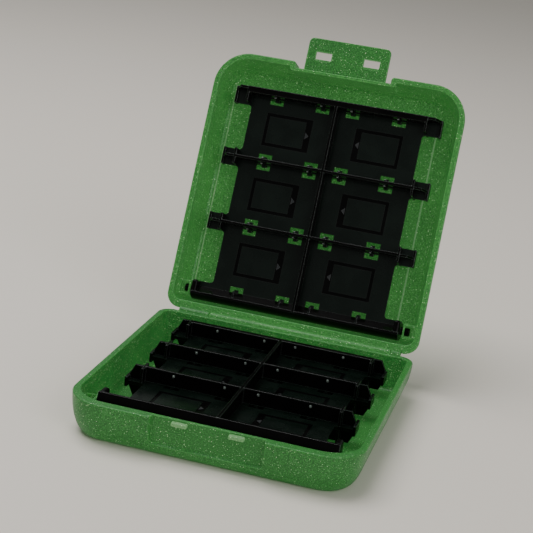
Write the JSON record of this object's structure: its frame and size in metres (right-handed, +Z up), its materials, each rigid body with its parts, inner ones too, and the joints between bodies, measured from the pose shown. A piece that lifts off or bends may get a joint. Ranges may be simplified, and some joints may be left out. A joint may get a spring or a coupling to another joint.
{
  "type": "game card case",
  "caption": "Hinged green card case, open, with a slotted latch flap and two-sided black trays of card pockets held on pivot pins.",
  "frame": {"origin": "centre of the base's flat underside", "axes": "+Z up, +Y from the case's front to its hinge, +X to the right seen from the front"},
  "size_m": [0.0904, 0.1406, 0.1078],
  "materials": {
    "base_shell": "translucent green with fine glitter",
    "lid_shell": "translucent green with fine glitter",
    "latch_flap": "translucent green with fine glitter",
    "base_tray": "glossy black, with matte pocket floors",
    "lid_tray": "glossy black, with matte pocket floors"
  },
  "bodies": {
    "base": {"base_shell": "base_shell", "base_tray": "base_tray"},
    "lid": {"lid_shell": "lid_shell", "lid_tray": "lid_tray"},
    "latch": {"latch_flap": "latch_flap"}
  },
  "joints": [
    {"name": "lid_hinge", "type": "hinge", "parent": "base", "child": "lid", "pos_m": [0, 0.0477, 0.0123], "axis": [1, 0, 0], "range_deg": [0, 112]},
    {"name": "latch_hinge", "type": "hinge", "parent": "lid", "child": "latch", "pos_m": [0, 0.08682, 0.09685], "axis": [1, 0, 0], "range_deg": [0, 90]}
  ]
}
